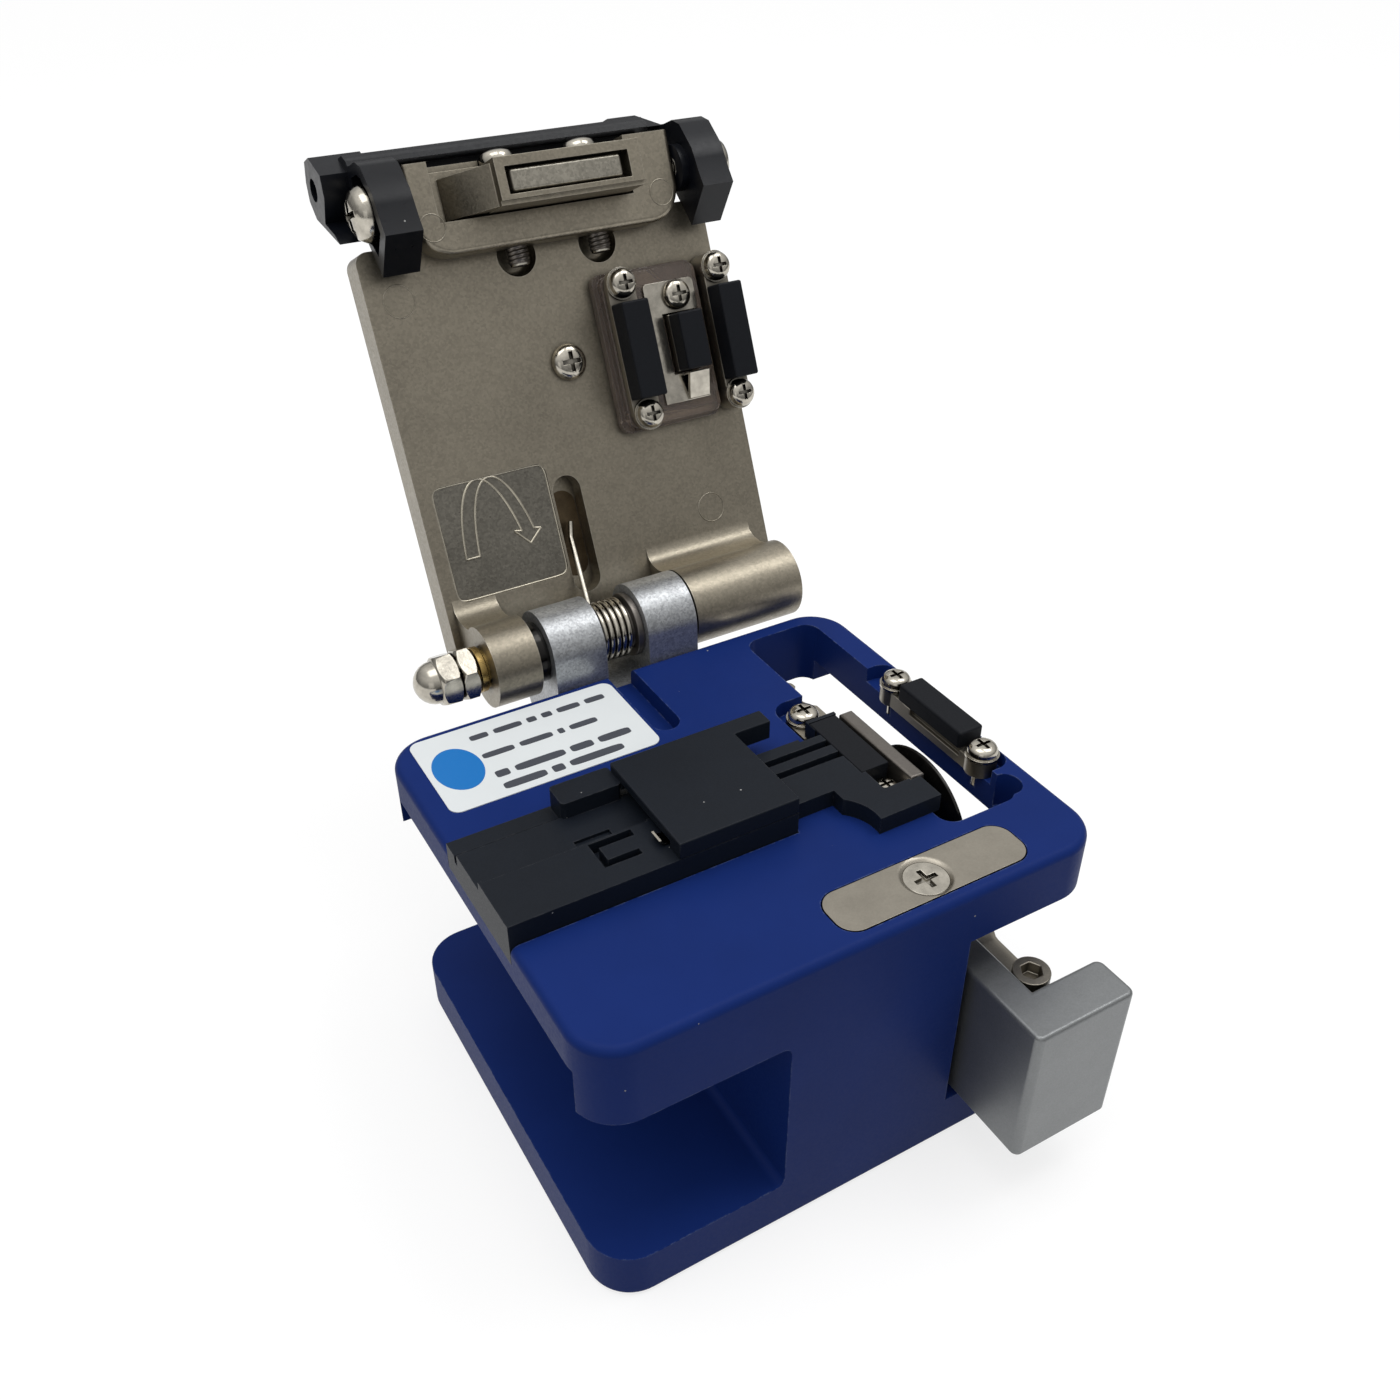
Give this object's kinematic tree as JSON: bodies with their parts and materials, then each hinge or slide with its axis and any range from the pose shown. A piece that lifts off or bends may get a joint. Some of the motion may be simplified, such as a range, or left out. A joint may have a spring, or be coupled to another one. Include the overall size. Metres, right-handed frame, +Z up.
{
  "type": "fibre cleaver",
  "caption": "Hand tool that scores and snaps optical fibre: C-shaped blue body, fibre guide, sprung lid with clamp pads and release lever, and a slide that carries a round blade.",
  "frame": {"origin": "centre of the base's underside, on the surface it stands on", "axes": "+X to the right along the fibre and the hinge, +Y away from the user towards the hinge, +Z up"},
  "size_m": [0.0652, 0.1084, 0.097],
  "materials": {
    "blue_paint": "matte powder coat",
    "nickel": "satin nickel plating",
    "bright_steel": "bright nickel plating",
    "silver_paint": "silver-grey coat",
    "ground_steel": "ground",
    "satin_aluminium": "satin",
    "black_anodised": "matte black anodised",
    "black_plastic": "satin",
    "black_rubber": "matte",
    "smoky_plate": "smoky clear",
    "brass": "turned",
    "label_white": "printed film"
  },
  "bodies": {
    "body": {"body_casting": "blue_paint", "keeper_plate": "nickel", "keeper_screw": "bright_steel", "deck_label": "label_white", "slide_rail": "ground_steel", "rail_screws": "bright_steel", "fibre_guide": "black_anodised", "guide_cover": "black_anodised", "guide_leaf": "bright_steel", "guide_screws": "bright_steel", "lower_left_carrier": "nickel", "lower_left_pad": "black_rubber", "lower_left_pan_screw": "bright_steel", "lower_left_flat_screw": "bright_steel", "fibre_rest_bar": "ground_steel", "lower_right_carrier": "nickel", "lower_right_pad": "black_rubber", "lower_right_screws": "bright_steel", "hinge_bracket": "silver_paint", "bracket_screws": "bright_steel", "hinge_shaft": "bright_steel", "hinge_washer": "ground_steel", "lock_nut": "bright_steel", "acorn_nut": "bright_steel", "spring_sleeve": "ground_steel", "torsion_spring": "bright_steel"},
    "lid": {"lid_casting": "nickel", "hinge_bush": "brass", "magnet_holder": "nickel", "magnet": "bright_steel", "long_screws": "bright_steel", "lid_screw": "bright_steel", "clamp_base": "smoky_plate", "upper_left_carrier": "nickel", "upper_right_carrier": "nickel", "upper_left_pad": "black_rubber", "upper_right_pad": "black_rubber", "upper_clamp_screws": "bright_steel", "anvil_leaf": "bright_steel", "anvil_screw": "bright_steel", "pivot_screws": "bright_steel"},
    "anvil": {"anvil_pad": "black_rubber", "anvil_stem": "nickel"},
    "lever": {"lever": "black_plastic"},
    "slide": {"slide_block": "satin_aluminium", "carriage": "ground_steel", "carriage_screws": "bright_steel", "blade_arm": "nickel", "arm_screw": "bright_steel", "blade_axle": "bright_steel"},
    "blade": {"blade": "ground_steel"}
  },
  "joints": [
    {"name": "lid_hinge", "type": "hinge", "parent": "body", "child": "lid", "pos_m": [0, 0.03265, 0.0429], "axis": [1, 0, 0], "range_deg": [0, 114], "stiffness_Nm_per_rad": 0.02, "springref_deg": -57.3, "deforming": ["torsion_spring"]},
    {"name": "lever_hinge", "type": "hinge", "parent": "lid", "child": "lever", "pos_m": [0, 0.05841, 0.09142], "axis": [-1, 0, 0], "range_deg": [0, 30]},
    {"name": "anvil_slide", "type": "slide", "parent": "lid", "child": "anvil", "axis": [0, 0.9135, -0.4067], "range_m": [0, 0.0008], "stiffness_N_per_m": 600, "springref_m": -0.001},
    {"name": "blade_slide", "type": "slide", "parent": "body", "child": "slide", "axis": [0, 1, 0], "range_m": [0, 0.024]},
    {"name": "blade_turn", "type": "hinge", "parent": "slide", "child": "blade", "pos_m": [0.0207, -0.0084, 0.0332], "axis": [1, 0, 0], "continuous": true}
  ]
}
